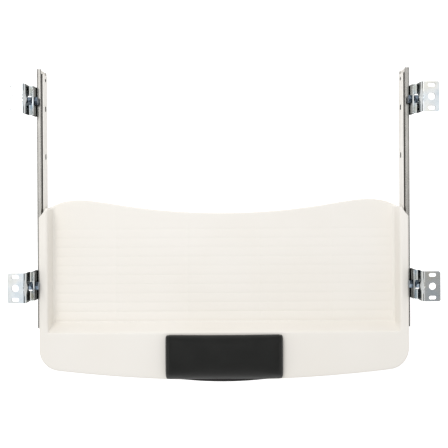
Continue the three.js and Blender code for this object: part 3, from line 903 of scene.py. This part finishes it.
def screw_rings(head_face, tip, towards):
    """A pan head screw, from its head face to its tip: cross recess, round head, plain shank."""
    mm = MM * towards
    shank = 1.75 * MM
    return [
        cross(head_face + 1.0 * mm, 1.0 * MM), cross(head_face + 0.2 * mm, 1.7 * MM),
        (head_face + 0.05 * mm, 2.2 * MM), (head_face + 0.3 * mm, 2.9 * MM),
        (head_face + 0.8 * mm, SMALL_HEAD), (head_face + 1.7 * mm, SMALL_HEAD), (head_face + 1.7 * mm, shank),
        (tip - 0.4 * mm, shank), (tip, 0.9 * MM),
    ]


def make_rest_screw(side):
    """The wrist rest's screws, driven up from below the ledge."""
    node = "wrist_rest_screw_" + side
    low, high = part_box(node)
    middle = (low + high) / 2
    upright = Matrix.Translation((middle.x, middle.y, 0)) @ Matrix.Rotation(math.radians(-90), 4, "Y")
    fastener(node, ZINC, "drawer", screw_rings(low.z, high.z, 1), (0, 0), 1, move=upright)


# Bolts, nuts and washers take the blue zinc painted dark as painted shade.
MOUNT_FASTENERS = (
    ("bolt", bolt_rings, BLUE_ZINC_PAINTED_DARK), ("nut", nut_rings, BLUE_ZINC_PAINTED_DARK), ("washer", washer_rings, BLUE_ZINC_PAINTED_DARK),
    ("rivet_1", rivet_rings, ZINC), ("rivet_2", rivet_rings, ZINC),
)
for side, sign in SIDES.items():
    for number in (1, 2, 3):
        node = f"{side}_tray_screw_{number}"
        centre, near, far = node_line(node)
        fastener(node, ZINC, "drawer", screw_rings(far, near, -1), centre, sign)
    make_rest_screw(side)
    for where in PLACES:
        for name, rings_of, material in MOUNT_FASTENERS:
            node = f"{side}_{where}_{name}"
            centre, near, far = node_line(node)
            fastener(node, material, "mount_frame", rings_of(near, far), centre, sign)

# ---- brackets: flat sheets with their holes, bent along the section ----

SHEET = 2 * MM
FLANGE_BEND = 4 * MM  # radii on the show side: the flange's bend, then both of the joggle's
JOGGLE_BEND = 2.3 * MM
HOLE_RADIUS = 6 * MM
SLOT_OUT = 19 * MM
SLOT_HALF_LENGTH = 6.3 * MM
SLOT_HALF_WIDTH = 3.2 * MM
HOLE_FROM_END = 13 * MM
CHAMFER = 2 * MM
PLATE_HEIGHT = 29 * MM
FLANGE_LENGTH = 30.5 * MM
NOTCH_TOP = 20 * MM
NOTCH_RADIUS = 7.75 * MM
SLOT_RADIUS = 4.4 * MM
DART_REACH = 2.6 * MM
DART_LENGTH = 13.5 * MM
DART_HALF_WIDTH = 14 * MM
DART_DEPTH = 2.5 * MM


def cut_sheet(outline, holes, cuts_u, cuts_v):
    """A flat sheet with holes in u and v, cut along lines so that it can be bent and pressed."""
    curve = bpy.data.curves.new("flat_outline", "CURVE")
    curve.dimensions = "2D"
    curve.fill_mode = "BOTH"
    for points in (outline, *holes):
        line = curve.splines.new("POLY")
        line.points.add(len(points) - 1)
        for point, (u, v) in zip(line.points, points):
            point.co = (u, v, 0, 1)
        line.use_cyclic_u = True
    holder = bpy.data.objects.new("flat_outline", curve)
    mesh = bpy.data.meshes.new_from_object(holder)
    bm = bmesh.new()
    bm.from_mesh(mesh)
    bpy.data.objects.remove(holder)
    bpy.data.curves.remove(curve)
    bpy.data.meshes.remove(mesh)
    bmesh.ops.remove_doubles(bm, verts=bm.verts, dist=0.001 * MM)
    for u in cuts_u:
        cut(bm, (u, 0, 0), (1, 0, 0))
    for v in cuts_v:
        cut(bm, (0, v, 0), (0, 1, 0))
    return bm


class Section:
    """A bent line through corners, read by the length along it: flats joined by arcs."""

    def __init__(self, corners, radii):
        self.parts = []
        self.bends = []
        points = [Vector(c) for c in corners]
        at = points[0]
        for before, here, after, radius in zip(points, points[1:], points[2:], radii):
            into = (here - before).normalized()
            out = (after - here).normalized()
            turn = math.atan2(into.x * out.y - into.y * out.x, into.dot(out))
            reach = radius * math.tan(abs(turn) / 2)
            start = here - into * reach
            self.parts.append((at, into, (start - at).length, 0))
            bend_start = self.length()
            self.parts.append((start, into, abs(turn) * radius, turn))
            self.bends.append((bend_start, self.length()))
            at = here + out * reach
        self.parts.append((at, (points[-1] - at).normalized(), (points[-1] - at).length, 0))

    def length(self):
        return sum(part[2] for part in self.parts)

    def read(self, u):
        """The point at length u."""
        for start, along, length, turn in self.parts[:-1]:
            if u <= length:
                break
            u -= length
        else:
            start, along, length, turn = self.parts[-1]
        if not turn:
            return start + along * u
        radius = length / turn
        angle = u / radius
        left = Vector((-along.y, along.x))
        return start + (along * math.sin(angle) + left * (1 - math.cos(angle))) * radius


def make_desk_bracket(prefix, sign):
    """The bracket that screws to the desk: a flange, a plate with a pressed dart, a joggle, and a lower
    plate with an upright slot for the height bolt. The bolt's nut sits in the round-topped notch."""
    node = prefix + "_desk_bracket"
    low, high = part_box(node)
    (y, _), lower_x, end_x = node_line(node)
    half = (high.y - low.y) / 2
    plate_x = end_x - FLANGE_LENGTH
    joggle_z = -PLATE_HEIGHT - (plate_x - lower_x)
    corners = [(end_x, 0), (plate_x, 0), (plate_x, -PLATE_HEIGHT), (lower_x, joggle_z), (lower_x, low.z)]
    section = Section(corners, (FLANGE_BEND, JOGGLE_BEND, JOGGLE_BEND))
    total = section.length()
    flange, joggle_top, joggle_foot = section.bends
    bend_at = (flange[0] + flange[1]) / 2
    joggle_end = joggle_foot[1]
    (_, bolt_z), _, _ = node_line(prefix + "_bolt")
    bolt_u = total - (bolt_z - low.z)
    outline = [(CHAMFER, -half), (total, -half), (total, half), (CHAMFER, half)]
    outline += [(0, half - CHAMFER), (0, CHAMFER - half)]
    notch_centre = (flange[1] - FLANGE_BEND + NOTCH_TOP + NOTCH_RADIUS, 0)
    keyhole = arc(notch_centre, NOTCH_RADIUS, 90, 270, 24)
    keyhole += [(joggle_end - MM, -NOTCH_RADIUS), (joggle_end, MM - NOTCH_RADIUS), (joggle_end, -SLOT_RADIUS)]
    keyhole += arc((bolt_u + 12 * MM, 0), SLOT_RADIUS, -90, 90, 16)
    keyhole += [(joggle_end, SLOT_RADIUS), (joggle_end, NOTCH_RADIUS - MM), (joggle_end - MM, NOTCH_RADIUS)]
    holes = [arc((HOLE_FROM_END, 0), HOLE_RADIUS, 0, 352.5, 47), keyhole]
    flat = SLOT_HALF_LENGTH - SLOT_HALF_WIDTH
    for out in (-SLOT_OUT, SLOT_OUT):
        ends = (HOLE_FROM_END - flat, out), (HOLE_FROM_END + flat, out)
        holes.append(strip_outline(*ends, SLOT_HALF_WIDTH, 12))
    cuts_u = [bend_at - DART_REACH - 2 * MM]
    for start, end in section.bends:
        cuts_u += [start + (end - start) * k / 6 for k in range(7)]
    cuts_u += [bend_at + DART_LENGTH * k / 10 for k in range(1, 12)]
    cuts_v = [DART_HALF_WIDTH * k / 8 for k in range(-9, 10)]

    def pressed(u, v):
        reach = DART_REACH if u < bend_at else DART_LENGTH
        return DART_DEPTH * max(0.0, 1 - abs(v) / DART_HALF_WIDTH - abs(u - bend_at) / reach)

    bm = cut_sheet(outline, holes, sorted(cuts_u), cuts_v)
    for face in bm.faces:
        u, v, _ = face.calc_center_median()
        # Upright plates take the zinc painted dark as a painted dark reflection; the pressed darts take the
        # scuffed zinc.
        upright = flange[1] < u < joggle_top[0] or u > joggle_end
        face.material_index = 2 if pressed(u, v) else int(upright)
    for vert in bm.verts:
        u, v = vert.co.x, vert.co.y
        point = section.read(u)
        across = math.sqrt(0.5) * pressed(u, v)
        vert.co = (sign * (point.x + across), y + v, point.y - across)
    finish_sheet(bm, node, sign, 0.35 * MM)


def finish_sheet(bm, node, sign, edge):
    """Gives a sheet its thickness away from the show face, and rounds its cut edges."""
    bmesh.ops.recalc_face_normals(bm, faces=bm.faces)
    show = sum((f.normal.z - sign * f.normal.x) * f.calc_area() for f in bm.faces)
    if show < 0:
        bmesh.ops.reverse_faces(bm, faces=bm.faces)
    mesh = bpy.data.meshes.new(node + "_finished")
    bm.to_mesh(mesh)
    bm.free()
    # The second finish is zinc painted dark: a painted dark reflection.
    for finish in (ZINC, PAINTED_DARK_REFLECTION_ZINC, SCUFFED_ZINC):
        mesh.materials.append(finish)
    mesh.shade_smooth()
    piece = add(node + "_finished", mesh)
    solidify = thicken(piece, SHEET, -1)
    solidify.material_offset = -1
    solidify.material_offset_rim = -1
    soften(piece, edge, 60)
    return place(piece, "mount_frame", "zinc", node)


def make_hanger(prefix, sign):
    """The flat plate riveted to the slide, with holes for the bolt and the rivets."""
    node = prefix + "_hanger"
    low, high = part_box(node)
    (y, _), near, _ = node_line(node)
    corner = 2.5 * MM
    front, rear = low.y + corner - y, high.y - corner - y
    bottom, top = low.z + corner, high.z - corner
    outline = []
    for k, centre in enumerate(((rear, top), (front, top), (front, bottom), (rear, bottom))):
        outline += arc(centre, corner, 90 * k, 90 * k + 90, 6)
    holes = []
    for hole_node, radius in (("_bolt", 4.4 * MM), ("_rivet_1", 2.2 * MM), ("_rivet_2", 2.2 * MM)):
        (hole_y, hole_z), _, _ = node_line(prefix + hole_node)
        holes.append(arc((hole_y - y, hole_z), radius, 0, 345, 23))
    bm = cut_sheet(outline, holes, [], [])
    # The hanger takes the zinc painted dark: a painted dark reflection.
    for face in bm.faces:
        face.material_index = 1
    for vert in bm.verts:
        vert.co = (sign * near, y + vert.co.x, vert.co.y)
    finish_sheet(bm, node, sign, 0.3 * MM)


for side, sign in SIDES.items():
    for where in PLACES:
        make_desk_bracket(f"{side}_{where}", sign)
        make_hanger(f"{side}_{where}", sign)

# ---- wrist rest ----

PAD_LOW, PAD_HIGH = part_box("wrist_rest_pad")
PAD_SEAM_X = PAD_HIGH.x - 5.2 * MM
PAD_SEAM_DEPTH = 0.55 * MM
PAD_GROW = 3 * MM
PAD_FALL = 7.5 * MM  # how far the top rolls down at its front
PAD_REAR_DRAW = 0.9 * MM
PAD_INSET = 1.6 * MM
PAD_COLUMNS = 48
PAD_ROWS = 20
VOXEL = 4 * MM
SWELL_FRAMES = 20
SEAM_CUT = 0.7 * MM  # between the cuts on each side of a seam, which let it be pressed in


def pad_start():
    """The foam before it swells: flat below, with a rounded top that falls away towards the front."""
    centre = (PAD_LOW + PAD_HIGH) / 2
    half = (PAD_HIGH - PAD_LOW) / 2
    columns, rows = PAD_COLUMNS, PAD_ROWS
    bm = bmesh.new()
    top, bottom = [], []
    for j in range(rows + 1):
        v = j / rows * 2 - 1
        y = centre.y + v * (half.y - PAD_INSET)
        rise = (1 - abs(v) ** 5) ** 0.4 if abs(v) < 1 else 0
        fall = PAD_FALL * max(0, -v) ** 4
        for i in range(columns + 1):
            u = i / columns * 2 - 1
            x = centre.x + u * (half.x - PAD_INSET)
            ends = (1 - abs(u) ** 24) ** 0.5 if abs(u) < 1 else 0
            height = (2 * half.z - 2 * MM) * (0.35 + 0.65 * rise * ends) - fall * ends
            top.append(bm.verts.new((x, y, PAD_LOW.z + height)))
            bottom.append(bm.verts.new((x, y, PAD_LOW.z + 0.2 * MM)))
    across = columns + 1
    for j in range(rows):
        for i in range(columns):
            k = j * across + i
            bm.faces.new((top[k], top[k + 1], top[k + across + 1], top[k + across]))
            bm.faces.new((bottom[k + across], bottom[k + across + 1], bottom[k + 1], bottom[k]))
    rim = list(range(across))
    rim += [j * across + columns for j in range(1, rows + 1)]
    rim += [rows * across + i for i in range(columns - 1, -1, -1)]
    rim += [j * across for j in range(rows - 1, 0, -1)]
    join(bm, [bottom[k] for k in rim], [top[k] for k in rim])
    return object_from(bm, "wrist_rest_cushion", PAD_FABRIC, 180)


def apply_modifiers(obj):
    """Keeps the shape that an object's modifiers give it, as its own mesh."""
    depsgraph = bpy.context.evaluated_depsgraph_get()
    shaped = bpy.data.meshes.new_from_object(obj.evaluated_get(depsgraph))
    old = obj.data
    obj.modifiers.clear()
    obj.data = shaped
    bpy.data.meshes.remove(old)


def swell(pad):
    """Swells the cover over its foam by cloth simulation, with its underside held flat."""
    before = [v.co.copy() for v in pad.data.vertices]
    held = [v.index for v in pad.data.vertices if v.co.z < PAD_LOW.z + 1.2 * MM]
    pad.vertex_groups.new(name="held").add(held, 1.0, "REPLACE")
    cloth = pad.modifiers.new("cloth", "CLOTH")
    settings = cloth.settings
    settings.use_pressure = True
    settings.uniform_pressure_force = 4
    settings.effector_weights.gravity = 0
    settings.vertex_group_mass = "held"
    settings.tension_stiffness = settings.compression_stiffness = 15
    settings.bending_stiffness = 0.5
    cloth.point_cache.frame_start = 1
    cloth.point_cache.frame_end = SWELL_FRAMES
    for step in range(1, SWELL_FRAMES + 1):
        scene.frame_set(step)
    apply_modifiers(pad)
    scene.frame_set(1)
    for vert, start in zip(pad.data.vertices, before):
        move = vert.co - start
        if move.length > PAD_GROW:
            vert.co = start + move.normalized() * PAD_GROW


def fit_pad(pad):
    """Brings the swollen cover to its measured size, with its rear edge drawn in at the middle."""
    vertices = pad.data.vertices
    lows = [min(v.co[i] for v in vertices) for i in range(3)]
    highs = [max(v.co[i] for v in vertices) for i in range(3)]
    for vert in vertices:
        share = [(vert.co[i] - lows[i]) / (highs[i] - lows[i]) for i in range(3)]
        for i in range(3):
            vert.co[i] = PAD_LOW[i] + (PAD_HIGH[i] - PAD_LOW[i]) * share[i]
        u = 2 * share[0] - 1
        vert.co.y -= PAD_REAR_DRAW * (1 - u * u) * share[1] ** 2


def sew_pad(pad):
    """Two seams, one near each end: a stitched groove right round the cover."""
    bm = bmesh.new()
    bm.from_mesh(pad.data)
    for sign in SIDES.values():
        for k in (-2, -1, 0, 1, 2):
            cut(bm, (sign * PAD_SEAM_X + k * SEAM_CUT, 0, 0), (1, 0, 0), 0.02 * MM)
    bm.normal_update()
    for vert in bm.verts:
        off = abs(abs(vert.co.x) - PAD_SEAM_X) / SEAM_CUT
        if off < 1.5 and vert.co.z > PAD_LOW.z + 1.5 * MM:
            vert.co -= vert.normal * PAD_SEAM_DEPTH * (1 - off / 1.5)
    bm.to_mesh(pad.data)
    bm.free()
    pad.data.shade_smooth()


def make_pad():
    pad = pad_start()
    remesh = pad.modifiers.new("remesh", "REMESH")
    remesh.mode = "VOXEL"
    remesh.voxel_size = VOXEL
    apply_modifiers(pad)
    swell(pad)
    subdivide = pad.modifiers.new("fine", "SUBSURF")
    subdivide.levels = 1
    subdivide.render_levels = 1
    apply_modifiers(pad)
    fit_pad(pad)
    sew_pad(pad)
    return place(pad, "drawer", "pad_fabric", "wrist_rest_pad")


make_pad()
refine("wrist_rest_base", "drawer", "black_plastic", BLACK_PLASTIC, 0.5 * MM)

# ---- looks of every CAD node ----

LOOKS = {
    "tray_plastic": TRAY_PLASTIC,
    "pad_fabric": PAD_FABRIC,
    "black_plastic": BLACK_PLASTIC,
    "zinc": ZINC,
    "slide_steel": SLIDE_STEEL,
    "ball_steel": BALL_STEEL,
}
for part in frame["record"]["subparts"]:
    for holder in frame["nodes"][part["node"]].material_slots:
        holder.material = LOOKS[part["material_slot"]]

# ---- stage: a pale floor well below the drawer, and soft light ----

STAGE_Z = -0.6
STAGE_HALF = 6
DOME = 0.71  # how bright the white dome is, as matt surfaces see it
DOME_TILT = 0.07  # how much brighter it is on the right, and darker on the left
# How bright the studio is to shiny surfaces, from straight down (0) to straight up (1).
STUDIO_LEVELS = [
    (0.0, 0.02), (0.07, 0.03), (0.10, 0.7), (0.48, 0.85),
    (0.76, 1.0), (0.79, 0.05), (0.965, 0.05), (0.975, 1.0),
]
FRONT_WALL_GAIN = 1.5
KEY_PLACE = Vector((-0.5, 1.1, 1.8))
KEY_TARGET = Vector((0, -0.1, 0))
KEY_SIZE = 1.2
KEY_POWER = 22.8


def make_floor():
    mesh = bpy.data.meshes.new("floor")
    corners = ((-1, -1), (1, -1), (1, 1), (-1, 1))
    mesh.from_pydata([(x * STAGE_HALF, y * STAGE_HALF, STAGE_Z) for x, y in corners], [], [(0, 1, 2, 3)])
    floor = add("floor", mesh)
    floor.visible_glossy = False
    n = Nodes("floor_white")
    n.set(Base_Color=(0.93, 0.93, 0.93, 1), Roughness=0.9, Emission_Color=(1, 1, 1, 1), Emission_Strength=0.5)
    mesh.materials.append(n.material)


def make_world():
    """A white studio. Matt surfaces see a dome that is a little brighter on the right. Shiny ones see pale
    walls, a dark gap under the ceiling panel, and the panel itself, which ends towards the right front. The
    wall in front of the drawer is the brightest."""
    world = bpy.data.worlds.new("studio")
    scene.world = world
    world.use_nodes = True
    world.cycles.sampling_method = "NONE"
    tree = world.node_tree

    def spread(*values):
        return map_range(tree, *values, kind="SMOOTHSTEP")

    def calculate(operation, first, second):
        node = tree.nodes.new("ShaderNodeMath")
        node.operation = operation
        fill(tree, node.inputs, (first, second))
        return node.outputs["Value"]

    def mix(factor, first, second):
        node = tree.nodes.new("ShaderNodeMix")
        node.data_type = "FLOAT"
        fill(tree, (node.inputs[0], node.inputs[2], node.inputs[3]), (factor, first, second))
        return node.outputs[0]

    split = tree.nodes.new("ShaderNodeSeparateXYZ")
    fill(tree, split.inputs, [add_node(tree, "TexCoord", "Generated")])
    x, y, z = split.outputs
    matt = spread(x, -1.0, 1.0, (1 - DOME_TILT) * DOME, (1 + DOME_TILT) * DOME)
    levels = [(height, (level, level, level)) for height, level in STUDIO_LEVELS]
    studio = ramp(tree, map_range(tree, z, -1.0, 1.0, 0.0, 1.0), levels)
    across = calculate("SUBTRACT", calculate("MULTIPLY", y, 2.0), x)
    panel = calculate("ADD", spread(across, -0.40, -0.10, 0.44, 1.1), spread(across, 0.1, 0.45, 0.0, 0.7))
    walls = spread(y, -1.0, -0.4, FRONT_WALL_GAIN, 1.0)
    shiny = calculate("MULTIPLY", studio, mix(spread(z, 0.92, 0.94, 0.0, 1.0), walls, panel))
    rays = tree.nodes.new("ShaderNodeLightPath")
    strength = mix(rays.outputs["Is Camera Ray"], mix(rays.outputs["Is Glossy Ray"], matt, shiny), 1.0)
    fill(tree, tree.nodes["Background"].inputs, ((1, 1, 1, 1), strength))


def make_key():
    """The one lamp: large and soft, high up behind the drawer and to the left."""
    data = bpy.data.lights.new("key", "AREA")
    data.energy = KEY_POWER
    data.size = KEY_SIZE
    key = add("key", data)
    key.location = KEY_PLACE
    key.rotation_euler = (KEY_TARGET - KEY_PLACE).to_track_quat("-Z", "Y").to_euler()
    key.visible_glossy = False


make_floor()
make_world()
make_key()
scene.view_settings.view_transform = "Standard"
